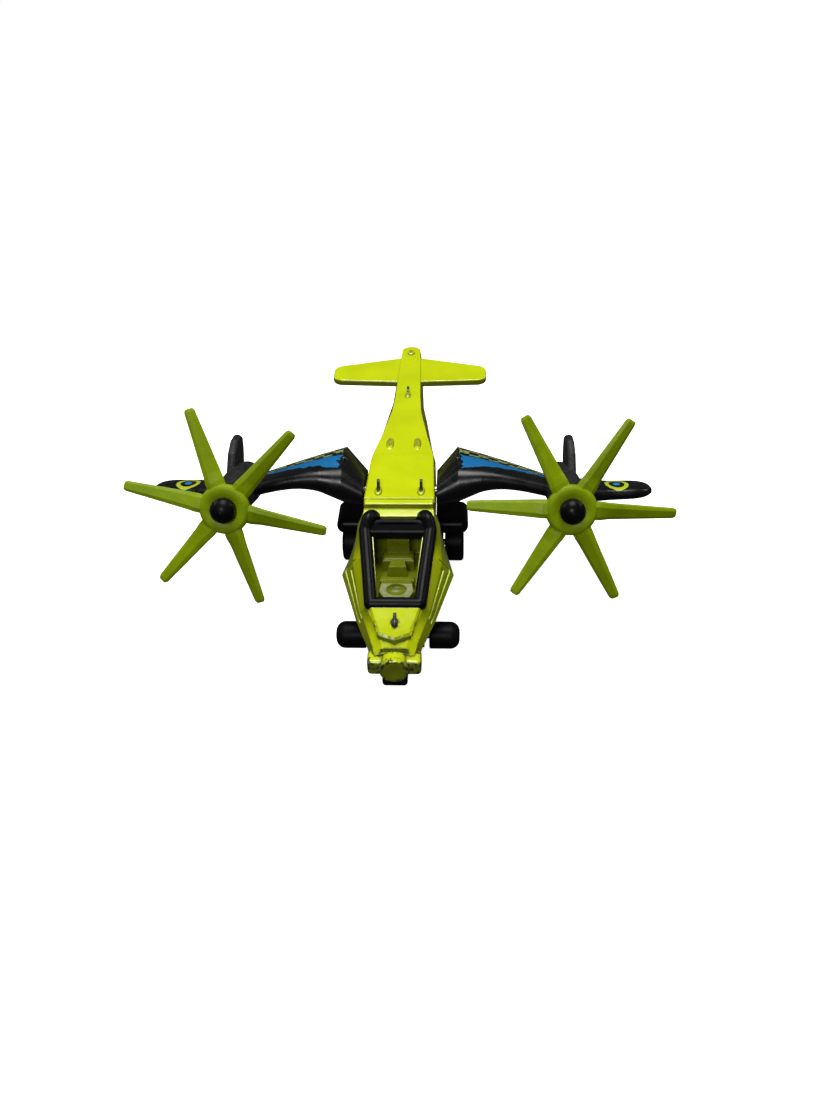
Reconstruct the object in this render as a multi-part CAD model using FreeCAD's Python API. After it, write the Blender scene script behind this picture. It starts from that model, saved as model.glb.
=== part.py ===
import FreeCAD, Part
import math
import os

# Toy tilt-rotor attack aircraft.  Millimetres, +Z up, nose towards -Y.
# The origin is on the table, under the middle of the aircraft's length.

# ---- overall sizes ----
NOSE_Y = -40.1                 # front face of the sensor drum
TAIL_Y = 42.3                  # rounded end of the tail boom
COCKPIT_FRONT_Y = NOSE_Y + 8.8
NOSE_RAMP_Y = NOSE_Y + 8.1     # where the nose starts to slope down
BODY_WIDTH = 17.5              # across the chines beside the cockpit
DECK_Z = 18.0                  # top of the hump over the wing
BELLY_Z = 3.6                  # joint between casting and base
BASE_Z = 2.3                   # flat underside of the base
WALL = 1.25                    # casting wall
FIT = 0.04                     # clearance round running shafts
GAP = 0.2                      # between parts that swing past each other

# ---- wing ----
WING_HALF_SPAN = 40.9
PIVOT_Y, PIVOT_Z = -8.0, 15.0
REST_TILT = 25.0               # nose-up angle of the wing as stored
WING_ROOT_X = 5.95
BODY_SIDE_X = WING_ROOT_X - GAP
ROD_R = 1.0

# ---- rotors ----
HUB_X = 26.55                  # rotor axis from the centre line
ROTOR_R = 15.9
HUB_RIM = 2.05                 # hub round the pin's cap
HUB_AHEAD = 13.0               # rotor plane ahead of the pivot
HUB_DROP = 0.5                 # rotor axis below the pivot
PIN_R = 0.8
PIN_HEAD_R = 1.9
HUB_R = PIN_HEAD_R + HUB_RIM
BLADES = 6
LEFT_PHASE, RIGHT_PHASE = 47.0, -2.0

# ---- undercarriage ----
MAIN_R, MAIN_WIDTH, MAIN_OUTER_X, MAIN_Y = 3.3, 3.3, 10.6, -7.1
NOSE_R, NOSE_WIDTH, NOSE_OUTER_X, NOSE_WHEEL_Y = 2.15, 4.8, 9.75, -29.1
AXLE_R = 0.55
WHEEL_GAP = 0.25               # between a wheel and the base beside it
SADDLE_X = MAIN_OUTER_X - MAIN_WIDTH - WHEEL_GAP

Z0 = FreeCAD.Vector(0, 0, 0)
X_AXIS = FreeCAD.Vector(1, 0, 0)
Y_AXIS = FreeCAD.Vector(0, 1, 0)
Z_AXIS = FreeCAD.Vector(0, 0, 1)


def vec(x, y, z):
    return FreeCAD.Vector(x, y, z)


def box(x0, x1, y0, y1, z0, z1):
    return Part.makeBox(x1 - x0, y1 - y0, z1 - z0, vec(x0, y0, z0))


def rod(radius, start, end):
    along = end - start
    return Part.makeCylinder(radius, along.Length, start, along)


def cross_rod(radius, y, z, x0, x1):
    return rod(radius, vec(x0, y, z), vec(x1, y, z))


def mirrored(shape):
    return shape.mirror(Z0, X_AXIS)


def mirror_point(point):
    return vec(-point.x, point.y, point.z)


def both_sides(shape):
    return [shape, mirrored(shape)]


def joined(shapes):
    whole = shapes[0]
    for piece in shapes[1:]:
        whole = whole.fuse(piece)
    merged = whole.removeSplitter()      # merges flat faces that carry on into each other
    return merged if merged.isValid() else whole


def prism(points, direction):
    """A closed outline of points, pushed along a direction."""
    return Part.Face(Part.makePolygon(points + points[:1])).extrude(direction)


def loft(wires, ruled):
    return Part.makeLoft(wires, True, ruled)


def tube(points, radius, bend):
    """A round bar along a chain of points, with rounded corners."""
    edges, last = [], points[0]
    for before, corner, after in zip(points, points[1:], points[2:]):
        to_before = (before - corner).normalize()
        to_after = (after - corner).normalize()
        half = to_before.getAngle(to_after) / 2
        reach = bend / math.tan(half)
        start, end = corner + to_before * reach, corner + to_after * reach
        inward = (to_before + to_after).normalize()
        middle = corner + inward * (bend / math.sin(half) - bend)
        edges += [Part.makeLine(last, start), Part.Arc(start, middle, end).toShape()]
        last = end
    edges.append(Part.makeLine(last, points[-1]))
    path = Part.Wire(edges)
    first = points[1] - points[0]
    ring = Part.Wire(Part.makeCircle(radius, points[0], first))
    return path.makePipeShell([ring], True, True)


# ---- fuselage ----

def hull_section(y, belly, chine, shoulder, roof, inset=0.0, floor=None):
    """Eight-sided cross-section; each level is (half width, height)."""
    half = [(w - inset, z) for w, z in (belly, chine, shoulder, roof)]
    half[0] = (half[0][0], belly[1] if floor is None else floor)
    half[3] = (half[3][0] + inset * 0.3, roof[1] - inset)
    right = [vec(w, y, z) for w, z in half]
    left = [vec(-w, y, z) for w, z in reversed(half)]
    ring = right + left
    return Part.makePolygon(ring + ring[:1])


def hull_stations():
    """Along the body: place, then belly, chine, shoulder and roof as (half width, height)."""
    wide, side, deck = BODY_WIDTH / 2, BODY_SIDE_X, DECK_Z - 0.5
    belly = BELLY_Z
    return [
        (NOSE_Y + 2.0, (2.0, belly), (3.3, 5.4), (2.9, 6.8), (1.6, 7.3)),
        (NOSE_Y + 3.8, (2.4, belly), (4.1, 6.6), (3.5, 7.9), (2.1, 8.6)),
        (NOSE_RAMP_Y, (3.2, belly), (6.1, 8.3), (5.2, 10.0), (4.3, 11.0)),
        (-24.3, (4.4, belly), (wide, 10.5), (6.9, 12.9), (5.6, 14.2)),
        (-17.4, (4.5, belly), (7.3, 10.6), (6.5, 15.2), (5.6, deck - 0.5)),
        (-15.4, (4.5, belly), (side, 9.0), (side, 16.2), (side - 0.3, deck)),
        (-1.0, (4.4, belly), (side, 9.6), (side - 0.1, 16.0), (side - 0.5, deck)),
        (5.5, (3.4, 5.6), (5.1, 11.0), (4.9, 14.6), (4.1, deck - 0.3)),
        (15.0, (2.4, 9.6), (4.1, 12.4), (3.8, 14.6), (2.7, deck - 0.7)),
        (21.0, (1.9, 11.0), (3.1, 13.2), (2.9, 15.0), (2.4, deck - 0.9)),
        (TAIL_Y - 1.9, (1.3, 12.6), (2.2, 14.0), (2.1, 15.4), (1.9, deck - 1.0)),
    ]


def fuselage_hull(inset=0.0, floor=None, front=NOSE_Y, back=TAIL_Y):
    kept = [s for s in hull_stations() if front <= s[0] <= back]
    wires = [hull_section(*s, inset=inset, floor=floor) for s in kept]
    return loft(wires, True)


def on_side(y, share):
    """A point on the sloped side: share 0 is the chine, 1 the shoulder, 2 the roof edge."""
    stations = hull_stations()
    before = max((s for s in stations if s[0] <= y), key=lambda s: s[0])
    after = min((s for s in stations if s[0] > y), key=lambda s: s[0])
    along = (y - before[0]) / (after[0] - before[0])
    level = 2 if share <= 1 else 3
    part = share if share <= 1 else share - 1
    ends = []
    for s in (before, after):
        (w0, z0), (w1, z1) = s[level], s[level + 1]
        ends.append((w0 + (w1 - w0) * part, z0 + (z1 - z0) * part))
    (wa, za), (wb, zb) = ends
    return vec(wa + (wb - wa) * along, y, za + (zb - za) * along)


def cockpit_cut(widen=0.0):
    """The open top of the cockpit, seen from above, cut straight down."""
    front, back = (2.75 + widen, COCKPIT_FRONT_Y - widen), (4.15 + widen, -17.6 + widen)
    outline = [vec(s * w, y, 8.4) for s, w, y in
               ((-1, *front), (1, *front), (1, *back), (-1, *back))]
    return prism(outline, vec(0, 0, 14))


def mound(x, y, z, half_width, half_length, height):
    """Low oval swelling."""
    dome = Part.makeSphere(1.0, Z0)
    shape = FreeCAD.Matrix()
    shape.scale(half_width, half_length, height)
    dome = dome.transformGeometry(shape)
    dome.translate(vec(x, y, z))
    return dome


def small_fin(x, y_front, length, base_z, height, thickness=0.5):
    """A blade that rises gently from the front and drops at the back."""
    outline = [
        vec(x - thickness / 2, y_front, base_z - 0.6),
        vec(x - thickness / 2, y_front + length, base_z - 0.6),
        vec(x - thickness / 2, y_front + length, base_z + height * 0.7),
        vec(x - thickness / 2, y_front + length * 0.75, base_z + height),
        vec(x - thickness / 2, y_front + length * 0.35, base_z + height * 0.9),
        vec(x - thickness / 2, y_front, base_z),
    ]
    return prism(outline, vec(thickness, 0, 0))


def groove(points, radius=0.16):
    runs = [rod(radius, a, b) for a, b in zip(points, points[1:])]
    knots = [Part.makeSphere(radius, p) for p in points]
    return joined(runs + knots)


def tailplane():
    lead_root, lead_tip, trail_tip, trail_root = 27.4, 28.2, 34.0, 38.0
    tip, thick, top = 15.4, 1.3, 16.3
    outline = []
    for side in (1, -1):
        half = [(1.0, lead_root), (tip, lead_tip), (tip, trail_tip), (1.0, trail_root)]
        outline += half if side == 1 else [(-x, y) for x, y in reversed(half)]
    plate = prism([vec(x, y, top - thick) for x, y in outline], vec(0, 0, thick))
    corners = [e for e in plate.Edges
               if abs(abs(e.CenterOfMass.x) - tip) < 0.01 and e.BoundBox.ZLength > thick / 2]
    plate = plate.makeFillet(2.0, corners)
    flats = [f for f in plate.Faces if f.BoundBox.ZLength < 0.01]
    return plate.makeFillet(0.35, [e for f in flats for e in f.Edges])


def sensor_drum():
    """Front-facing drum between two rounded ear blocks."""
    drum_z, drum_r = 5.5, 2.2
    drum = rod(drum_r, vec(0, NOSE_Y, drum_z), vec(0, NOSE_Y + 3.4, drum_z))
    front = [e for e in drum.Edges if abs(e.CenterOfMass.y - NOSE_Y) < 0.01]
    drum = drum.makeFillet(0.3, front)
    dish = Part.makeSphere(6.0, vec(0, NOSE_Y - 5.85, drum_z))
    ears = []
    for side in (1, -1):
        ear = box(1.5, 4.0, NOSE_Y + 0.7, NOSE_Y + 3.4, drum_z - 1.5, drum_z + 1.25)
        outer = [e for e in ear.Edges if e.CenterOfMass.x > 3.9 or
                 (e.CenterOfMass.y < NOSE_Y + 0.8 and e.CenterOfMass.x > 1.6)]
        ear = ear.makeFillet(0.6, outer)
        ears.append(ear if side > 0 else mirrored(ear))
    return joined([drum] + ears).cut(dish)


def hump():
    """Raised deck over the wing with sloped edges and a lip behind the canopy."""
    wire = []
    edge = BODY_SIDE_X - 0.1
    for z, grow in ((DECK_Z - 1.0, 0.1), (DECK_Z - 0.15, 0.0), (DECK_Z, -0.2)):
        front, back = -14.2 - grow, -3.0 + grow
        pts = [vec(edge + grow, front, z), vec(edge - 0.3 + grow, back, z),
               vec(0.3 - edge - grow, back, z), vec(-edge - grow, front, z)]
        wire.append(Part.makePolygon(pts + pts[:1]))
    deck = loft(wire, True)
    half = BODY_SIDE_X - 0.25
    lip_top = DECK_Z + 0.25
    lip = box(-half, half, -16.1, -14.7, DECK_Z - 1.5, lip_top)
    lip = lip.makeFillet(0.3, [e for e in lip.Edges if abs(e.CenterOfMass.z - lip_top) < 0.01])
    ear = box(half - 1.0, BODY_SIDE_X - 0.06, -14.95, -13.3, DECK_Z - 1.9, DECK_Z - 0.25)
    ear = ear.makeFillet(0.3, [e for e in ear.Edges if abs(e.CenterOfMass.z - DECK_Z + 0.25) < 0.01])
    return [deck, lip] + both_sides(ear)


def nose_deck():
    """Raised glossy panel on the nose."""
    fall = 0.56
    rings = []
    for lift, shrink in ((-0.8, -0.3), (0.4, 0.0), (0.6, 0.3)):
        ring = []
        for x, ahead in ((4.1, -0.2), (2.5, 4.2), (0.0, 4.9), (-2.5, 4.2), (-4.1, -0.2)):
            x = x - math.copysign(shrink, x) if x else x
            ahead = ahead - shrink if ahead > 0 else ahead + shrink * 0.2
            ring.append(vec(x, NOSE_RAMP_Y - ahead, 11.1 - ahead * fall + lift))
        rings.append(Part.makePolygon(ring + ring[:1]))
    return loft(rings, True)


def rivet_post(y, radius, top_z):
    return rod(radius, vec(0, y, BELLY_Z), vec(0, y, top_z))


FRONT_RIVET_Y, REAR_RIVET_Y, RIVET_R = NOSE_Y + 5.5, 0.6, 0.7


def fuselage_casting(frame, saddle):
    outer = fuselage_hull()
    tail_cap = rod(1.95, vec(0, TAIL_Y - 1.95, 13.1), vec(0, TAIL_Y - 1.95, 16.5))
    parts = [outer, tail_cap, tailplane(), sensor_drum(), nose_deck()] + hump()
    roof = DECK_Z - 0.5
    for x in (-3.45, 3.45):
        parts.append(small_fin(x, -12.4, 1.5, DECK_Z, 1.7, 0.45))
        parts.append(mound(x, -12.3, DECK_Z - 0.05, 0.62, 1.3, 0.5))
    for x in (-2.4, 2.4):
        parts.append(mound(x, 2.8, roof - 0.35, 0.7, 2.2, 0.6))
    parts.append(small_fin(0, NOSE_RAMP_Y - 2.5, 1.5, 10.2, 0.9, 0.45))
    parts.append(mound(0, NOSE_RAMP_Y - 2.3, 10.1, 0.6, 1.1, 0.65))
    parts.append(small_fin(0, 21.6, 1.5, roof - 0.9, 1.2, 0.45))
    parts.append(mound(0, 21.4, roof - 1.0, 0.6, 1.3, 0.55))
    parts.append(mound(0, TAIL_Y - 3.0, roof - 1.05, 0.75, 1.1, 0.55))
    body = joined(parts)
    cavity = fuselage_hull(inset=WALL, floor=BELLY_Z - 1.0, front=NOSE_RAMP_Y - 0.5, back=-0.9)
    channel = fuselage_hull(inset=WALL, floor=BELLY_Z - 1.0, front=-1.1, back=22.0)
    body = body.cut(cavity).cut(channel)
    post = rivet_post(REAR_RIVET_Y, 1.7, 16.6)
    body = joined([body, post])
    body = body.cut(cockpit_cut())
    slot = box(-2.0, 2.0, NOSE_Y + 2.1, NOSE_Y + 2.6, 7.0, 8.6)
    body = body.cut(slot)
    for y, depth in ((FRONT_RIVET_Y, 3.2), (REAR_RIVET_Y, 5.0)):
        body = body.cut(rod(RIVET_R, vec(0, y, BELLY_Z - 0.5), vec(0, y, BELLY_Z + depth)))
    body = body.cut(cross_rod(ROD_R + FIT, PIVOT_Y, PIVOT_Z, -9, 9))
    outer = [on_side(-24.0, 1.25), on_side(-24.0, 0.42), on_side(-24.35, 0.36), on_side(NOSE_RAMP_Y - 0.9, 0.42)]
    inner = [on_side(-25.0, 0.95), on_side(-25.0, 0.78), on_side(NOSE_RAMP_Y - 0.7, 0.86)]
    for line in (outer, inner):
        for cut in both_sides(groove(line)):
            body = body.cut(cut)
    return body.cut(frame).cut(saddle)


# ---- canopy frame ----

def canopy_frame():
    """Two side tubes that turn down behind the seats, a front bar and a flat roll bar."""
    bar = 1.0
    front_y = COCKPIT_FRONT_Y - 0.3
    front = vec(3.7, front_y, on_side(front_y, 2).z + 0.06)
    hip = vec(5.1, -20.2, 16.2)
    top = vec(4.45, -17.9, 17.9)
    foot = vec(3.4, -17.0, 15.6)
    side_tube = tube([front, hip, top, foot], bar, bar * 1.2)   # bent wider than its own radius
    knob = Part.makeSphere(bar, front)
    front_bar = rod(bar, front, mirror_point(front))
    roll = box(-4.8, 4.8, -21.0, -18.9, 14.9, 16.5)
    roll = roll.makeFillet(0.35, [e for e in roll.Edges if e.BoundBox.XLength > 5])
    bow_end, bow_mid = vec(4.3, -18.7, 16.35), vec(2.4, -18.35, 16.45)
    bow = [rod(0.45, bow_mid, mirror_point(bow_mid))]
    bow += both_sides(rod(0.45, bow_mid, bow_end)) + both_sides(Part.makeSphere(0.45, bow_mid))
    return joined([roll] + both_sides(side_tube) + both_sides(knob) + [front_bar] + bow)


# ---- cockpit tub ----

def cockpit_tub(rod_space):
    """Shallow moulded cockpit: headrest, seat, console and the hood of the front seat."""
    floor = 9.6
    shell = fuselage_hull(inset=WALL + 0.15, floor=7.4, front=NOSE_RAMP_Y - 0.5, back=-15.0)
    block = shell.common(box(-9, 9, NOSE_RAMP_Y + 0.4, -17.2, 7.4, 20))
    well = cockpit_cut().common(box(-9, 9, -40, 0, floor, 30))
    tub = block.cut(well)
    headrest = rounded_block(1.75, -20.4, -18.2, floor, 15.0, 0.7)
    seat = rounded_block(2.5, -22.3, -19.6, floor, 11.9, 0.6)
    console = tapered_console(floor)
    step = box(-2.7, 2.7, -26.4, -25.3, floor, 11.2)
    step = step.makeFillet(0.3, [e for e in step.Edges if abs(e.CenterOfMass.z - 11.2) < 0.01])
    pieces = [tub, headrest, seat, console, step, front_seat(floor)]
    return joined(pieces).common(shell).cut(rod_space)


def rounded_block(half_width, y0, y1, z0, z1, bend):
    block = box(-half_width, half_width, y0, y1, z0, z1)
    return block.makeFillet(bend, [e for e in block.Edges if e.CenterOfMass.z > (z0 + z1) / 2])


def tapered_console(floor):
    """Trapezoid block with a sloped face between the two seats."""
    wires = []
    for z, wide, back, front in ((floor, 1.9, -22.4, -24.9), (12.1, 1.35, -22.6, -24.2)):
        ring = [vec(-wide, front, z), vec(wide, front, z), vec(wide * 0.75, back, z), vec(-wide * 0.75, back, z)]
        wires.append(Part.makePolygon(ring + ring[:1]))
    return loft(wires, True)


def front_seat(floor):
    """Six-sided hood of the front seat with an oval hollow."""
    wires = []
    for z, shrink in ((floor - 0.2, 0.0), (11.5, 0.35)):
        pts = [vec(1.4 - shrink, -30.7 + shrink, z), vec(2.9 - shrink, -28.6, z),
               vec(2.6 - shrink, -26.2 - shrink, z)]
        ring = pts + [vec(-p.x, p.y, p.z) for p in reversed(pts)]
        wires.append(Part.makePolygon(ring + ring[:1]))
    hood = loft(wires, True)
    hollow = mound(0, -28.6, 11.6, 1.85, 1.15, 1.0)
    return hood.cut(hollow)


# ---- base and undercarriage ----

def saddle_block(grow=0.0):
    """The part of the base that carries the main axle, across the belly."""
    return box(-SADDLE_X - grow, SADDLE_X + grow, MAIN_Y - 2.1 - grow, MAIN_Y + 2.3 + grow,
               1.7, 5.1 + grow)


def sponson():
    """Capsule-shaped pod above each main wheel, on a strut from the belly."""
    inner, outer = BODY_SIDE_X + 0.08, 11.3
    low, high = MAIN_R * 2 + 0.35, 9.7
    r = (high - low) / 2
    front, back = MAIN_Y - 2.9, MAIN_Y + 4.2
    pod = box(inner, outer, front, back, low, high)
    long_edges = [e for e in pod.Edges if e.CenterOfMass.x > outer - 0.01 or
                  e.BoundBox.XLength > outer - inner - 0.01]
    pod = pod.makeFillet(r * 0.92, long_edges)
    strut = box(inner, SADDLE_X, MAIN_Y - 2.1, MAIN_Y + 2.3, 4.0, low + r)
    return pod.fuse(strut)


def rounded_chin():
    """Small gun housing tucked under the sensor drum."""
    bar = cross_rod(0.95, NOSE_Y + 1.6, 2.25, -1.9, 1.9)
    return bar.makeFillet(0.55, [e for e in bar.Edges if e.Curve.TypeId == "Part::GeomCircle"])


def base_plate(hull):
    outline = [(2.2, NOSE_Y + 3.6), (3.0, NOSE_RAMP_Y - 0.5), (4.1, -24.3), (4.2, -15.4),
               (4.1, -1.0), (3.0, 4.4)]
    ring = [vec(x, y, BASE_Z) for x, y in outline] + [vec(-x, y, BASE_Z) for x, y in reversed(outline)]
    plate = prism(ring, vec(0, 0, BELLY_Z - BASE_Z))
    chin = rounded_chin()
    neck = box(-1.9, 1.9, NOSE_Y + 1.6, NOSE_Y + 4.4, 1.9, 3.15)
    nose_block = box(-4.2, 4.2, NOSE_WHEEL_Y - 1.5, NOSE_WHEEL_Y + 1.5, 0.9, 2.6)
    key = box(-2.6, 2.6, -23.0, -14.0, BELLY_Z - 0.2, BELLY_Z + 1.2)
    parts = [plate, chin, neck, nose_block, key, saddle_block()] + both_sides(sponson())
    base = joined(parts)
    base = base.cut(cross_rod(AXLE_R + FIT, NOSE_WHEEL_Y, NOSE_R, -12, 12))
    base = base.cut(cross_rod(AXLE_R + FIT, MAIN_Y, MAIN_R, -14, 14))
    for y in (FRONT_RIVET_Y, REAR_RIVET_Y):
        base = base.cut(rod(RIVET_R, vec(0, y, 0), vec(0, y, 8)))
        base = base.cut(rod(1.35, vec(0, y, 0), vec(0, y, BASE_Z + 0.5)))
    return base


def rivet(y, depth):
    shank = rod(RIVET_R, vec(0, y, 2.4), vec(0, y, BELLY_Z + depth - 0.1))
    head = rod(1.3, vec(0, y, BASE_Z + 0.02), vec(0, y, BASE_Z + 0.5))
    head = head.makeFillet(0.2, [e for e in head.Edges if abs(e.CenterOfMass.z - BASE_Z - 0.02) < 0.01])
    return joined([shank, head])


def turned(profile, y, z):
    """A turned part about a cross axis; the profile is (x, radius) points and arcs."""
    edges, last = [], profile[0]
    for step in profile[1:] + profile[:1]:
        if len(step) == 4:
            middle, end = step[:2], step[2:]
            edges.append(Part.Arc(vec(last[0], 0, last[1]), vec(middle[0], 0, middle[1]),
                                  vec(end[0], 0, end[1])).toShape())
            last = end
        else:
            edges.append(Part.makeLine(vec(last[0], 0, last[1]), vec(step[0], 0, step[1])))
            last = step
    solid = Part.Face(Part.Wire(edges)).revolve(Z0, X_AXIS, 360)
    solid.translate(vec(0, y, z))
    return solid


def main_wheel():
    out, inn, r = MAIN_OUTER_X, MAIN_OUTER_X - MAIN_WIDTH, MAIN_R
    cut, edge = 0.5, 0.55
    return turned([
        (inn, AXLE_R), (inn, r - edge), (inn + 0.16, r - 0.16, inn + edge, r),
        (out - edge, r), (out - 0.16, r - 0.16, out, r - edge), (out, r - 1.1),
        (out - cut, r - 1.35), (out - cut, 1.35), (out - 0.15, 1.1), (out - 0.15, AXLE_R)],
        MAIN_Y, MAIN_R)


def nose_roller():
    out, inn, r = NOSE_OUTER_X, NOSE_OUTER_X - NOSE_WIDTH, NOSE_R
    edge = 1.5
    return turned([
        (inn, AXLE_R), (inn, r - 0.3), (inn + 0.09, r - 0.09, inn + 0.3, r), (out - edge, r),
        (out - edge * 0.29, r - edge * 0.29, out, r - edge), (out, AXLE_R)],
        NOSE_WHEEL_Y, NOSE_R)


def axle(y, z, half):
    bar = cross_rod(AXLE_R, y, z, -half, half)
    return bar.makeChamfer(0.12, [e for e in bar.Edges if e.Curve.TypeId == "Part::GeomCircle"])


# ---- wing ----

def raised(shape):
    """From the wing's own level frame, centred on its pivot, to its rest place."""
    placed = shape.copy()
    placed.rotate(Z0, X_AXIS, -REST_TILT)
    placed.translate(vec(0, PIVOT_Y, PIVOT_Z))
    return placed


def wing_section(x, front, crest, back, low, lead, trail):
    """Cross-section from its heights: rounded front, crest, blunt back and hollowed underside."""
    r = (front - low) * 0.42
    middle = (front + low) / 2
    nose = vec(x, -lead, middle)
    front_top, front_low = vec(x, -lead + r, front), vec(x, -lead + r, low)
    mid = -(lead + trail) / 2
    back_low = vec(x, -trail, low + (back - low) * 0.45)
    return Part.Wire([
        Part.Arc(front_low, nose, front_top).toShape(),
        Part.Arc(front_top, vec(x, mid, crest), vec(x, -trail, back)).toShape(),
        Part.makeLine(vec(x, -trail, back), back_low),
        Part.Arc(back_low, vec(x, mid, low + (back_low.z - low) * 0.42), front_low).toShape()])


def wing_panel(side):
    """Gull wing: sloped root facet up to a knee, then an arch running out to the tip."""
    tip, knee = WING_HALF_SPAN, 9.4
    sections = [
        wing_section(WING_ROOT_X, 2.0, 2.9, 2.7, -1.6, 6.0, -4.6),
        wing_section(knee, 4.9, 6.4, 6.75, -1.2, 6.1, -4.6),
        wing_section(13.0, 4.5, 5.6, 5.8, 0.55, 6.0, -4.6),
        wing_section(17.0, 3.8, 4.6, 4.6, 1.1, 5.8, -4.6),
        wing_section(21.5, 2.75, 3.3, 3.15, 0.45, 5.6, -4.5),
        wing_section(HUB_X, 1.55, 2.0, 1.45, -0.6, 5.4, -4.3),
        wing_section(32.0, 1.3, 1.75, 1.2, -0.85, 5.2, -4.1),
        wing_section(37.5, 1.3, 1.7, 1.1, -0.5, 4.9, -3.8),
        wing_section(tip - 1.2, 1.25, 1.6, 1.1, -0.2, 4.3, -3.2),
        wing_section(tip, 1.0, 1.2, 0.95, 0.3, 2.9, -2.0)]
    panel = joined([loft(sections[:2], True), loft(sections[1:3], True), loft(sections[2:6], False),
                    loft(sections[5:], False)])
    panel = panel.fuse(cross_rod(2.0, 0, 0, WING_ROOT_X, 9.4))
    panel = panel.cut(cross_rod(ROD_R, 0, 0, 0, 10.4))
    return panel if side > 0 else mirrored(panel)


LOCK_X, LOCK_R, LOCK_HEAD_R = 8.6, 0.4, 0.6


def lock_line(side):
    """From the rod's axis up and slightly forward through the wing root."""
    foot = vec(side * LOCK_X, 0, 0)
    return foot, vec(side * 0.75, -1.85, 5.5).normalize()


def wing_lock_pin(side, panel):
    """Steel pin through wing root and rod, its small head almost flush with the skin."""
    foot, along = lock_line(side)
    path = Part.makeLine(foot + along * ROD_R, foot + along * 20).common(panel)
    reach = max((v.Point - foot).dot(along) for v in path.Vertexes)
    shank = rod(LOCK_R, foot - along * 0.8, foot + along * reach)
    head = Part.makeSphere(LOCK_HEAD_R, foot + along * (reach - 0.35))
    return joined([shank, head])


def pivot_rod():
    bar = cross_rod(ROD_R, 0, 0, -10.2, 10.2)
    for side in (1, -1):
        foot, along = lock_line(side)
        bar = bar.cut(rod(LOCK_R, foot - along * 0.8, foot + along * 3))
    return bar


def oval(ahead, height, half_width, half_height):
    """Closed oval ring across the flight direction."""
    ring = []
    for i in range(8):
        a = i * math.pi / 4
        ring.append(vec(HUB_X + half_width * math.cos(a), -ahead, height + half_height * math.sin(a)))
    curve = Part.BSplineCurve()
    curve.interpolate(Points=ring, PeriodicFlag=True)
    return Part.Wire(curve.toShape())


POD_FRONT = HUB_AHEAD - 1.1


def pod_fin():
    """Upright fin on the pod, swept like a shark's fin with its point towards the back."""
    x = HUB_X + 0.6
    thick = 1.4
    pts = [vec(x, -4.0, 2.6), vec(x, 4.0, 2.6), vec(x, 4.5, 6.6), vec(x, 4.1, 8.7),
           vec(x, 2.6, 9.1), vec(x, 0.3, 8.5), vec(x, -2.0, 6.6)]
    plate = prism(pts, vec(thick, 0, 0))
    plate = plate.makeFillet(0.7, [e for e in plate.Edges if e.CenterOfMass.z > 6.0 and
                                   e.BoundBox.XLength > thick / 2])
    rim = [e for e in plate.Edges if e.BoundBox.ZMax > 2.7 and e.BoundBox.XLength < 0.01]
    return plate.makeFillet(thick * 0.42, rim)


def engine_pod(side, panel):
    rings = [oval(POD_FRONT, -HUB_DROP, 2.3, 2.3), oval(9.0, 0.1, 2.7, 2.9),
             oval(4.0, 0.8, 2.9, 3.6), oval(-2.0, 1.0, 2.8, 3.6), oval(-5.4, 1.1, 2.2, 2.8),
             oval(-6.6, 1.2, 1.4, 1.8)]
    body = loft(rings, False)
    body = joined([body, pod_fin()])
    body = body.cut(rod(1.2, vec(HUB_X, 8, 1.2), vec(HUB_X, 5.6, 1.2)))
    body = body.cut(rod(PIN_R, vec(HUB_X, -HUB_AHEAD, -HUB_DROP), vec(HUB_X, -HUB_AHEAD + 6.0, -HUB_DROP)))
    if side < 0:
        body = mirrored(body)
    return body.cut(panel)


# ---- rotors ----

def faced_forward(shape, side):
    """From a frame whose +Z looks ahead to the rotor's place on the level wing."""
    placed = shape.copy()
    placed.rotate(Z0, X_AXIS, 90)
    placed.translate(vec(side * HUB_X, -HUB_AHEAD, -HUB_DROP))
    return placed


def blade_section(radius, chord, thick, twist, back):
    """Flat lozenge across the blade at one radius, turned by the blade's pitch."""
    half, edge = thick / 2, thick * 0.2
    ring = [vec(radius, -chord / 2, edge), vec(radius, -chord * 0.28, half), vec(radius, chord * 0.28, half),
            vec(radius, chord / 2, edge), vec(radius, chord / 2, -edge), vec(radius, chord * 0.28, -half),
            vec(radius, -chord * 0.28, -half), vec(radius, -chord / 2, -edge)]
    wire = Part.makePolygon(ring + ring[:1])
    wire.rotate(Z0, X_AXIS, twist)
    wire.translate(vec(0, 0, -back))
    return wire


def blade():
    """Thick moulded blade: folded root, then a straight taper to a blunt tip."""
    r = ROTOR_R
    return loft([
        blade_section(HUB_R - 1.4, 2.9, 1.15, 8, 0.15),
        blade_section(HUB_R + 0.5, 2.95, 1.15, 12, 0.15),
        blade_section(HUB_R + 1.9, 2.75, 1.05, 21, 0.3),
        blade_section(r - 0.45, 1.65, 0.75, 16, 0.6),
        blade_section(r, 1.2, 0.5, 16, 0.6)], True)


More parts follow.
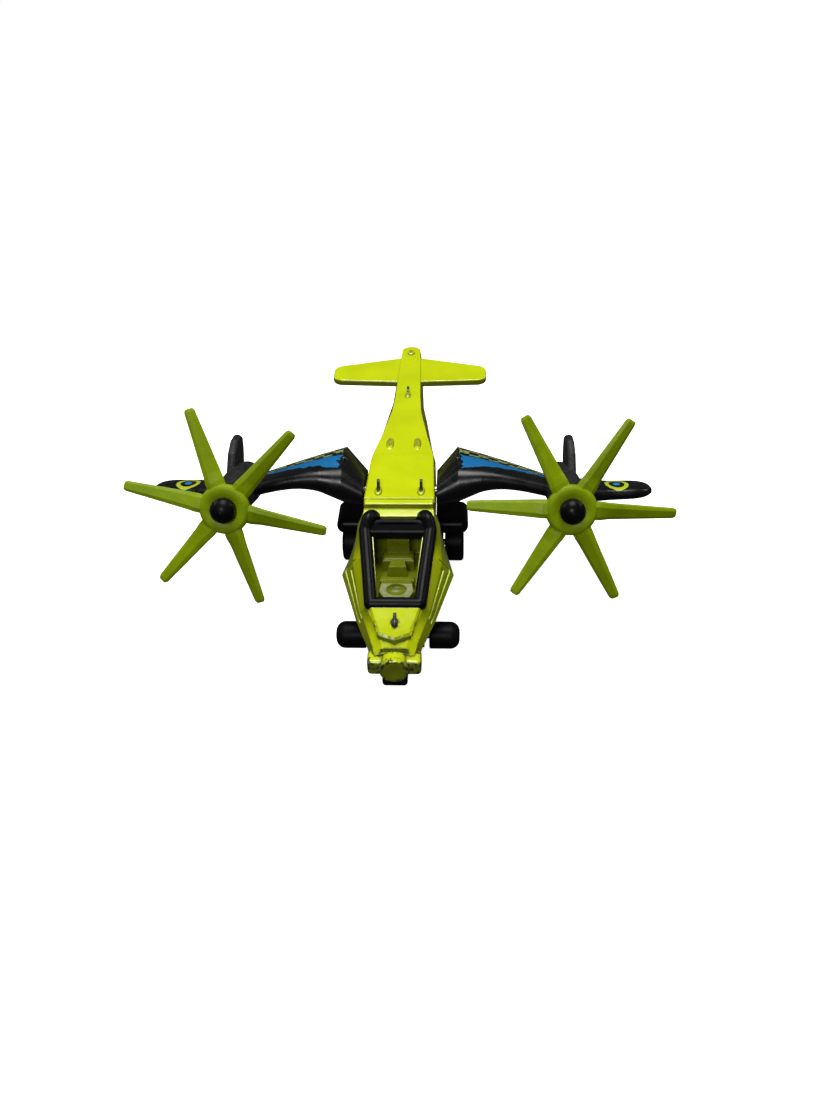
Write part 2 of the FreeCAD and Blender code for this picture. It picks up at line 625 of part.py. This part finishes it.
def rotor(side, phase):
    """Six blades round a softly convex hub that dips towards the pin."""
    half = 0.7
    bore, seat = PIN_R + FIT, PIN_HEAD_R + 0.25
    rim = [Part.Arc(vec(HUB_R - 0.35, 0, -half), vec(HUB_R, 0, 0), vec(HUB_R - 0.7, 0, half)).toShape(),
           Part.Arc(vec(HUB_R - 0.7, 0, half), vec((HUB_R - 0.7 + seat) / 2, 0, half - 0.02),
                    vec(seat, 0, half - 0.2)).toShape()]
    inside = [vec(seat, 0, half - 0.2), vec(bore, 0, half - 0.35), vec(bore, 0, -half),
              vec(HUB_R - 0.35, 0, -half)]
    edges = rim + [Part.makeLine(a, b) for a, b in zip(inside, inside[1:])]
    hub = Part.Face(Part.Wire(edges)).revolve(Z0, Z_AXIS, 360)
    shapes = [hub]
    for i in range(BLADES):
        one = blade()
        one.rotate(Z0, Z_AXIS, phase + i * 360.0 / BLADES)
        shapes.append(one)
    whole = joined(shapes)
    whole = whole.cut(Part.makeCylinder(bore, 8, vec(0, 0, -4), Z_AXIS))
    head_space = Part.makeCylinder(PIN_HEAD_R + 0.15, 4, vec(0, 0, half - 0.35), Z_AXIS)
    return faced_forward(whole.cut(head_space), side)


def rotor_pin(side):
    """Rotor shaft with a domed cap."""
    base = 0.45
    shank = Part.makeCylinder(PIN_R, 6.0, vec(0, 0, base - 6.0), Z_AXIS)
    skirt = Part.makeCylinder(PIN_HEAD_R, 0.9, vec(0, 0, base), Z_AXIS)
    dome = Part.makeSphere(PIN_HEAD_R + 0.3, vec(0, 0, base + 0.1)).common(
        Part.makeCylinder(PIN_HEAD_R, 4, vec(0, 0, base + 0.5), Z_AXIS))
    return faced_forward(joined([shank, skirt, dome]), side)


# ---- the whole toy ----

def build():
    frame = canopy_frame()
    hull = fuselage_hull()
    casting = fuselage_casting(frame, saddle_block(0.1))
    rod_space = cross_rod(ROD_R + 0.5, PIVOT_Y, PIVOT_Z, -12, 12)
    pieces = {
        "fuselage_casting": casting,
        "canopy_frame": frame,
        "cockpit_tub": cockpit_tub(rod_space).cut(frame),
        "base_plate": base_plate(hull),
        "base_rivet_front": rivet(FRONT_RIVET_Y, 3.2),
        "base_rivet_rear": rivet(REAR_RIVET_Y, 5.0),
        "nose_axle": axle(NOSE_WHEEL_Y, NOSE_R, NOSE_OUTER_X - 0.1),
        "main_axle": axle(MAIN_Y, MAIN_R, MAIN_OUTER_X - 0.1),
        "nose_roller_right": nose_roller(),
        "nose_roller_left": mirrored(nose_roller()),
        "main_wheel_right": main_wheel(),
        "main_wheel_left": mirrored(main_wheel()),
        "wing_pivot_rod": raised(pivot_rod()),
    }
    for name, side, phase in (("right", 1, RIGHT_PHASE), ("left", -1, LEFT_PHASE)):
        panel = wing_panel(side)
        pod = engine_pod(side, panel)
        pin_hole = faced_forward(Part.makeCylinder(PIN_R, 7.0, vec(0, 0, -6), Z_AXIS), side)
        lock = wing_lock_pin(side, panel)
        panel = panel.cut(pin_hole).cut(lock)
        pieces["wing_" + name] = raised(panel)
        pieces["engine_pod_" + name] = raised(pod)
        pieces["wing_lock_pin_" + name] = raised(lock)
        pieces["rotor_" + name] = raised(rotor(side, phase))
        pieces["rotor_pin_" + name] = raised(rotor_pin(side))
    return pieces


os.makedirs("parts", exist_ok=True)
middle_y = (NOSE_Y + TAIL_Y) / 2
for node, shape in build().items():
    solid = shape.copy()
    solid.translate(vec(0, -middle_y, 0))
    if len(solid.Solids) == 1:
        solid = solid.Solids[0]
    print(node, "solids", len(solid.Solids), "valid", solid.isValid(), "volume", round(solid.Volume, 1))
    solid.exportStep(os.path.join("parts", node + ".step"))
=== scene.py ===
import math

import bpy
from mathutils import Matrix, Vector


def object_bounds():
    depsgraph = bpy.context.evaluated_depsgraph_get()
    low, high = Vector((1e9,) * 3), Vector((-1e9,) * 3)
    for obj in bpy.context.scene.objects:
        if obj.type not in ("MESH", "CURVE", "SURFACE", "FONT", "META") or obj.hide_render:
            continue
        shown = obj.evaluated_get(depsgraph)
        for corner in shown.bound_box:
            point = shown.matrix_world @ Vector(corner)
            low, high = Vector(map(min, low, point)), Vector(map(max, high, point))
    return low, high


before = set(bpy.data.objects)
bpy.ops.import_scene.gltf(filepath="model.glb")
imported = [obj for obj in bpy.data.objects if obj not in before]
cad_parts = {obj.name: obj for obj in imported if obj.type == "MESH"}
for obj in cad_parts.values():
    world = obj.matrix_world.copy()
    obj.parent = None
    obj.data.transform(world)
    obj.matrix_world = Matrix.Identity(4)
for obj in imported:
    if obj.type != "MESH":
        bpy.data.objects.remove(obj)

cad_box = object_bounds()
MM = 0.001


# ---------------------------------------------------------------- shader maths

class Val:
    """A number or a vector that flows through a material's nodes."""

    def __init__(self, sheet, socket):
        self.sheet, self.socket = sheet, socket

    def _maths(self, operation, *others):
        return self.sheet.node("ShaderNodeMath", {"operation": operation}, self, *others)[0]

    def __add__(self, other):
        return self._maths("ADD", other)

    def __radd__(self, other):
        return self.sheet.number("ADD", other, self)

    def __sub__(self, other):
        return self._maths("SUBTRACT", other)

    def __rsub__(self, other):
        return self.sheet.number("SUBTRACT", other, self)

    def __mul__(self, other):
        return self._maths("MULTIPLY", other)

    def __rmul__(self, other):
        return self.sheet.number("MULTIPLY", other, self)

    def __truediv__(self, other):
        return self._maths("DIVIDE", other)

    def __pow__(self, other):
        return self._maths("POWER", other)

    def __gt__(self, other):
        return self._maths("GREATER_THAN", other)

    def __lt__(self, other):
        return self._maths("LESS_THAN", other)

    def size(self):
        return self._maths("ABSOLUTE")

    def part_of(self, step):
        return self._maths("MODULO", step)

    def most(self, other):
        return self._maths("MAXIMUM", other)

    def whole(self):
        return self._maths("FLOOR")

    def ramp(self, low, high, to_low=0.0, to_high=1.0, smooth=True):
        kind = "SMOOTHSTEP" if smooth else "LINEAR"
        return self.sheet.node("ShaderNodeMapRange", {"interpolation_type": kind},
                               self, low, high, to_low, to_high)[0]


class Sheet:
    """One material's node tree."""

    def __init__(self, name):
        self.material = bpy.data.materials.new(name)
        self.material.use_nodes = True
        self.tree = self.material.node_tree
        self.tree.nodes.clear()
        self.out = self.tree.nodes.new("ShaderNodeOutputMaterial")

    def node(self, kind, settings=None, *values, **named):
        made = self.tree.nodes.new(kind)
        for key, value in (settings or {}).items():
            setattr(made, key, value)
        feeds = [(s, v) for s, v in zip(made.inputs, values)]
        feeds += [(made.inputs[key.replace("_", " ")], v) for key, v in named.items()]
        for socket, value in feeds:
            if value is None:
                continue
            if isinstance(value, Val):
                self.tree.links.new(value.socket, socket)
            elif socket.type == "RGBA" and len(value) == 3:
                socket.default_value = (*value, 1)
            else:
                socket.default_value = value
        return [Val(self, s) for s in made.outputs]

    def number(self, operation, first, second):
        return self.node("ShaderNodeMath", {"operation": operation}, first, second)[0]

    def place(self):
        """The point on the piece, in millimetres from the toy's origin."""
        spot = self.node("ShaderNodeTexCoord")[3]
        return self.node("ShaderNodeVectorMath", {"operation": "SCALE"}, spot, Scale=1000.0)[0]

    def split(self, vector):
        return self.node("ShaderNodeSeparateXYZ", None, vector)

    def noise(self, vector, scale, detail=3.0, rough=0.5, warp=0.0):
        return self.node("ShaderNodeTexNoise", None, Vector=vector, Scale=scale, Detail=detail,
                         Roughness=rough, Distortion=warp)[0]

    def cells(self, vector, scale):
        return self.node("ShaderNodeTexVoronoi", None, Vector=vector, Scale=scale)[0]

    def mix(self, factor, low, high):
        made = self.tree.nodes.new("ShaderNodeMix")
        made.data_type = "RGBA"
        for socket, value in ((made.inputs[0], factor), (made.inputs[6], low), (made.inputs[7], high)):
            if isinstance(value, Val):
                self.tree.links.new(value.socket, socket)
            elif isinstance(value, (int, float)):
                socket.default_value = value
            else:
                socket.default_value = (*value, 1)
        return Val(self, made.outputs[2])

    def edge(self, radius_mm, low=0.02, high=0.25):
        """1 along sharp edges, 0 on flats."""
        soft = self.node("ShaderNodeBevel", {"samples": 6}, radius_mm * MM)[0]
        true = self.node("ShaderNodeNewGeometry")[3]
        same = self.node("ShaderNodeVectorMath", {"operation": "DOT_PRODUCT"}, soft, true)[1]
        return (1 - same).ramp(low, high)

    def rounded(self, radius_mm):
        return self.node("ShaderNodeBevel", {"samples": 6}, radius_mm * MM)[0]

    def bump(self, height, depth_mm, strength=1.0, normal=None):
        return self.node("ShaderNodeBump", None, Strength=strength, Distance=depth_mm * MM,
                         Height=height, Normal=normal)[0]

    def surface(self, colour, roughness, normal=None, metallic=0.0, **fixed):
        made = self.tree.nodes.new("ShaderNodeBsdfPrincipled")
        feeds = {"Base Color": colour, "Roughness": roughness, "Metallic": metallic, "Normal": normal}
        feeds.update({key.replace("_", " "): value for key, value in fixed.items()})
        for key, value in feeds.items():
            if value is None:
                continue
            if isinstance(value, Val):
                self.tree.links.new(value.socket, made.inputs[key])
            elif isinstance(value, tuple) and len(value) == 3 and made.inputs[key].type == "RGBA":
                made.inputs[key].default_value = (*value, 1)
            else:
                made.inputs[key].default_value = value
        self.tree.links.new(made.outputs[0], self.out.inputs[0])
        return self.material


# ---------------------------------------------------------------- finishes

LIME = (0.56, 0.66, 0.002)
LIME_DEEP = (0.50, 0.59, 0.001)
# the lime as it looks in shade, painted onto the flanks
LIME_PAINTED_SHADE = (0.17, 0.205, 0.0006)
ZINC = (0.035, 0.034, 0.030)

# Places on the casting, in millimetres from the toy's origin.
DRUM_AXIS_Z = 5.5
DRUM_RIM_R = 1.7
DRUM_FRONT_Y = -40.3
EAR_END_X, EAR_BACK_Y, EAR_TOP_Z = 3.45, -37.6, 7.2
NOSE_BACK_Y = -35.2            # paint is rubbed ahead of here
NOSE_MOUND_Y, NOSE_MOUND_Z, NOSE_FALL = -35.4, 10.42, 0.56
DECK_ANTENNA_Z = 18.3
RIDGE_Z, RIDGE_FRONT_Y = 17.45, 0.5
SWELL_Z, SWELL_FRONT_Y = 16.8, 19.0
BOOM_TIP_Z, BOOM_FRONT_Y = 17.3, 15.0


def painted_casting():
    """Glossy lime enamel over zinc, with painted shade on the flanks, chipped to dark metal on raised
    edges.
    """
    s = Sheet("lime_enamel")
    at = s.place()
    x, y, z = s.split(at)
    up = s.split(s.node("ShaderNodeTexCoord")[1])[2]
    cloud = s.noise(at, 0.16, 3.0)
    pits = s.noise(at, 2.2, 4.0, 0.6)
    colour = s.mix(cloud.ramp(0.3, 0.7), LIME, LIME_DEEP)
    # painted shade: faces turned away from straight up are darkened toward the shaded lime
    flank_shade = up.ramp(0.82, 0.55) * (0.85 + s.noise(at, 0.3, 3.0) * 0.3)
    colour = s.mix(flank_shade, colour, LIME_PAINTED_SHADE)
    colour = s.mix(pits.ramp(0.62, 0.8) * 0.12, colour, (0.56, 0.64, 0.03))
    # darker lime along sharp edges, in patches broken up by noise
    dark_edge_patches = s.edge(0.35, 0.06, 0.3) * pits.ramp(0.35, 0.6)
    colour = s.mix(dark_edge_patches * 0.45, colour, (0.19, 0.22, 0.002))
    ridges = (z - RIDGE_Z).ramp(0.0, 0.22) * (y > RIDGE_FRONT_Y)
    swells = (z - SWELL_Z).ramp(0.0, 0.2) * (y > SWELL_FRONT_Y)
    smudge = ridges.most(swells) * pits.ramp(0.30, 0.55)
    colour = s.mix(smudge * 0.75, colour, (0.13, 0.13, 0.035))
    nose = (NOSE_BACK_Y - y).ramp(-1.5, 2.0)
    flake = s.noise(at, 1.5, 5.0, 0.7)
    rubbed = s.edge(0.70, 0.01, 0.06) * flake.ramp(0.47, 0.53)
    off_axis = (x * x + (z - DRUM_AXIS_Z) * (z - DRUM_AXIS_Z)) ** 0.5
    drum_rim = (off_axis > DRUM_RIM_R) * (y < DRUM_FRONT_Y)
    ear_ends = (x.size() > EAR_END_X) * (y < EAR_BACK_Y) * (z < EAR_TOP_Z)
    knocked = drum_rim.most(ear_ends) * flake.ramp(0.52, 0.56)
    chips = (rubbed * nose).ramp(0.3, 0.5).most(knocked)
    specks = s.edge(0.25, 0.05, 0.2) * s.noise(at, 0.8, 5.0, 0.75).ramp(0.64, 0.68)
    antennas = (z - DECK_ANTENNA_Z).ramp(0.0, 0.12)
    nose_mound = (z - NOSE_MOUND_Z - (y - NOSE_MOUND_Y) * NOSE_FALL).ramp(0.0, 0.12)
    nose_tip = nose_mound * ((y - NOSE_MOUND_Y).size() < 1.5) * (x.size() < 0.9)
    boom_tip = (z - BOOM_TIP_Z).ramp(0.0, 0.3) * (y > BOOM_FRONT_Y)
    bare = chips.most(specks).most(antennas).most(boom_tip).most(nose_tip)
    colour = s.mix(bare, colour, ZINC)
    rough = s.noise(at, 0.7, 3.0).ramp(0.3, 0.75, 0.15, 0.27) + bare * 0.25
    pooled = nose * s.noise(at, 0.75, 2.0) * 2.2
    height = s.noise(at, 0.55, 3.0) * 0.6 + s.noise(at, 1.6, 2.0) * 0.2 + pooled - bare * 1.0
    normal = s.bump(height, 0.06, 0.7, s.rounded(0.14))
    return s.surface(colour, rough, normal, metallic=bare * 0.6,
                     Coat_Weight=0.3, Coat_Roughness=0.05)


def moulded_lime(name, colour_a, colour_b, gloss, scatter=0.0, specular=0.28):
    """Lime plastic with flow marks and pale stress at thin edges."""
    s = Sheet(name)
    at = s.place()
    flow = s.noise(at, 0.22, 3.0, 0.55, 1.2)
    fine = s.noise(at, 3.0, 3.0)
    edge = s.edge(0.25, 0.03, 0.3)
    colour = s.mix(flow.ramp(0.3, 0.7), colour_a, colour_b)
    colour = s.mix(edge * 0.35 * fine.ramp(0.35, 0.6), colour, (0.62, 0.70, 0.10))
    rough = fine.ramp(0.3, 0.7, gloss - 0.06, gloss + 0.08)
    height = flow * 0.4 + fine * 0.15
    normal = s.bump(height, 0.04, 0.5, s.rounded(0.15))
    return s.surface(colour, rough, normal, Subsurface_Weight=scatter, Specular_IOR_Level=specular,
                     Subsurface_Scale=0.0012, Subsurface_Radius=(0.8, 1.0, 0.1))


def black_plastic(name, gloss=0.26, print_on_wing=False, texture=0.0, specular=0.32):
    """Black moulded plastic with dust, hairline scratches and sink marks."""
    s = Sheet(name)
    at = s.place()
    dust = s.noise(at, 2.6, 5.0, 0.7).ramp(0.60, 0.82) * 0.10
    sweep = s.noise(at, 0.35, 3.0, 0.5, 0.8)
    colour = s.mix(dust, (0.0035, 0.0035, 0.004), (0.05, 0.05, 0.048))
    rough = sweep.ramp(0.3, 0.7, gloss, gloss + 0.12)
    height = sweep * 0.35
    if texture:
        grain = s.cells(at, 1.9)
        colour = s.mix(grain.ramp(0.1, 0.6) * 0.35, colour, (0.045, 0.045, 0.042))
        height = height + grain * texture
        rough = rough + 0.22
    if print_on_wing:
        colour, ink = wing_print(s, at, colour)
        rough = rough + ink * 0.08
        height = height + ink * 0.12
    normal = s.bump(height, 0.06, 0.6, s.rounded(0.18))
    return s.surface(colour, rough, normal, Specular_IOR_Level=specular)


TILT = math.radians(25.0)
PIVOT = Vector((0.0, -9.1, 15.0))

# Places on the level wing: out from the centre line, and ahead of the pivot.
KNEE_OUT, TIP_OUT, HUB_OUT = 9.6, 38.5, 27.0
FLASH_OUT = 25.5
TIP_FLASH_IN, TIP_FLASH_OUT = 30.0, 38.0
CHEQUERS_PER_MM = 0.62
ROUNDEL_OUT, ROUNDEL_AHEAD = 35.3, 2.0
ROUNDEL_HALF_WIDTH, ROUNDEL_HALF_LENGTH = 1.9, 2.7


def wing_print(s, at, base):
    """Blue flash, pale lime chequers and tip roundel, laid out on the level wing."""
    x, y, z = s.split(at)
    side = x.size()
    back = y - PIVOT.y
    rise = z - PIVOT.z
    ahead = rise * math.sin(TILT) - back * math.cos(TILT)
    height = back * math.sin(TILT) + rise * math.cos(TILT)
    ragged = s.noise(at, 0.9, 3.0) - 0.5
    # strip of chequers along the rear half
    behind = 0.6 - (side - HUB_OUT).ramp(0.0, 3.0, 0.0, 3.1)
    rear = (ahead < (behind + ragged * 0.8)) * (side > KNEE_OUT) * (side < TIP_OUT)
    cell_a = (side * CHEQUERS_PER_MM).whole()
    cell_b = (ahead * CHEQUERS_PER_MM + 40.0).whole()
    odd = ((cell_a + cell_b) * 0.5).part_of(1.0) > 0.25
    torn = s.noise(at, 1.3, 3.0) > 0.40
    chequer = rear * odd * torn
    pale = (0.24, 0.29, 0.09)
    # blue flash tapering outboard along the front half
    width = (FLASH_OUT - side).ramp(0.0, 15.5, 0.0, 3.4, False)
    jag = ragged * 3.4
    flash = (ahead > (0.9 + jag * 0.3)) * (ahead < (1.1 + width + jag * 0.4))
    flash = flash * (side > (9.9 + jag)) * (side < FLASH_OUT)
    tip_flash = (ahead > -2.4) * (ahead < (-1.5 + ragged))
    tip_flash = tip_flash * (side > TIP_FLASH_IN) * (side < TIP_FLASH_OUT)
    flash = flash.most(tip_flash * 0.8)
    # ring and dot near the tip
    across = (side - ROUNDEL_OUT) / ROUNDEL_HALF_WIDTH
    along = (ahead - ROUNDEL_AHEAD) / ROUNDEL_HALF_LENGTH
    far = (across * across + along * along) ** 0.5
    ring = (far > 0.66) * (far < 1.0)
    dot = far < 0.30
    on_top = height > 0.4
    colour = s.mix(chequer * on_top, base, pale)
    colour = s.mix(flash * on_top, colour, (0.006, 0.13, 0.33))
    colour = s.mix(ring * on_top, colour, (0.42, 0.52, 0.02))
    colour = s.mix(dot * on_top, colour, (0.02, 0.2, 0.5))
    ink = chequer.most(flash).most(ring).most(dot) * on_top
    return colour, ink


def bare_steel(name, bright, dull):
    """Drawn steel wire and rolled pin heads."""
    s = Sheet(name)
    at = s.place()
    grain = s.noise(at, 6.0, 4.0, 0.6)
    smear = s.noise(at, 0.8, 3.0)
    colour = s.mix(smear.ramp(0.35, 0.7), bright, dull)
    rough = grain.ramp(0.3, 0.7, 0.22, 0.42)
    normal = s.bump(grain, 0.01, 0.5, s.rounded(0.1))
    return s.surface(colour, rough, normal, metallic=1.0)


finishes = {
    "casting": painted_casting(),
    # the cockpit tub's lime is the casting paint darkened to stand in for the shade inside the cockpit:
    # painted shade
    "interior": moulded_lime("lime_interior_painted_shade", (0.145, 0.178, 0.001), (0.115, 0.14, 0.001), 0.30),
    "rotor": moulded_lime("lime_rotor", (0.23, 0.325, 0.001), (0.185, 0.27, 0.001), 0.38, 0.1, 0.12),
    "black": black_plastic("black_gloss", specular=0.10),
    "wing": black_plastic("black_printed_wing", 0.24, print_on_wing=True),
    "pod": black_plastic("black_grained_pod", 0.24, texture=0.5),
    "wheel": black_plastic("black_wheel", 0.36, specular=0.07),
    "steel": bare_steel("pin_steel", (0.46, 0.46, 0.47), (0.28, 0.27, 0.26)),
    "dark_steel": bare_steel("blackened_pin_steel", (0.05, 0.05, 0.052), (0.025, 0.025, 0.026)),
}

worn_by = {
    "fuselage_casting": "casting", "cockpit_tub": "interior", "canopy_frame": "black",
    "base_plate": "black", "base_rivet_front": "steel", "base_rivet_rear": "steel",
    "nose_axle": "steel", "main_axle": "steel", "wing_pivot_rod": "steel",
}
for hand in ("left", "right"):
    worn_by.update({
        "nose_roller_" + hand: "wheel", "main_wheel_" + hand: "wheel", "wing_" + hand: "wing",
        "engine_pod_" + hand: "pod", "wing_lock_pin_" + hand: "dark_steel",
        "rotor_" + hand: "rotor", "rotor_pin_" + hand: "black",
    })

for node, finish in worn_by.items():
    piece = bpy.data.objects[node]
    piece.data.materials.clear()
    piece.data.materials.append(finishes[finish])


# ---------------------------------------------------------------- floor, light, camera

def plain_floor():
    low = cad_box[0][2]
    mesh = bpy.data.meshes.new("studio_floor")
    wide = 1.2
    mesh.from_pydata([(-wide, -wide, low), (wide, -wide, low), (wide, wide, low), (-wide, wide, low)],
                     [], [(0, 1, 2, 3)])
    floor = bpy.data.objects.new("studio_floor", mesh)
    bpy.context.scene.collection.objects.link(floor)
    s = Sheet("pale_floor")
    at = s.place()
    tone = s.noise(at, 0.01, 2.0)
    mesh.materials.append(s.surface(s.mix(tone, (0.90, 0.90, 0.90), (0.94, 0.94, 0.94)), 0.8,
                                    Emission_Color=(1.0, 1.0, 1.0), Emission_Strength=0.9))
    floor.visible_diffuse = False
    floor.visible_glossy = False


def soft_light(name, place, aim, size, power, colour=(1, 1, 1)):
    lamp = bpy.data.lights.new(name, "AREA")
    lamp.shape, lamp.size, lamp.size_y = "RECTANGLE", size[0], size[1]
    lamp.energy, lamp.color = power, colour
    holder = bpy.data.objects.new(name, lamp)
    bpy.context.scene.collection.objects.link(holder)
    holder.location = place
    holder.rotation_euler = (Vector(aim) - Vector(place)).to_track_quat("-Z", "Y").to_euler()


def studio():
    plain_floor()
    centre = (0, -0.008, 0.012)
    soft_light("overhead_softbox", (0.0, 0.06, 0.49), centre, (0.26, 0.24), 2.1)
    soft_light("front_softbox", (-0.06, -0.40, 0.34), centre, (0.16, 0.12), 0.95)
    soft_light("left_softbox", (-0.40, 0.15, 0.30), centre, (0.20, 0.14), 0.40)
    soft_light("right_softbox", (0.40, 0.15, 0.30), centre, (0.20, 0.14), 0.40)
    world = bpy.data.worlds.new("pale_room")
    bpy.context.scene.world = world
    world.use_nodes = True
    world.node_tree.nodes["Background"].inputs[0].default_value = (1, 1, 1, 1)
    world.node_tree.nodes["Background"].inputs[1].default_value = 0.05
    bpy.context.scene.view_settings.view_transform = "Standard"


def view_camera():
    data = bpy.data.cameras.new("view")
    data.lens, data.sensor_width = 27.0, 36.0
    data.clip_start, data.clip_end = 0.005, 10
    eye = bpy.data.objects.new("view", data)
    bpy.context.scene.collection.objects.link(eye)
    turn, drop, roll = math.radians(2.392), math.radians(40.211), math.radians(-1.269)
    forward = Vector((-math.sin(turn) * math.cos(drop), math.cos(turn) * math.cos(drop), -math.sin(drop)))
    right = forward.cross(Vector((0, 0, 1))).normalized()
    up = right.cross(forward)
    side = right * math.cos(roll) + up * math.sin(roll)
    above = up * math.cos(roll) - right * math.sin(roll)
    frame_axes = Matrix((side, above, -forward)).transposed()
    eye.matrix_world = Matrix.Translation(Vector((7.646, -123.93, 96.983)) * MM) @ frame_axes.to_4x4()
    bpy.context.scene.camera = eye


studio()
view_camera()
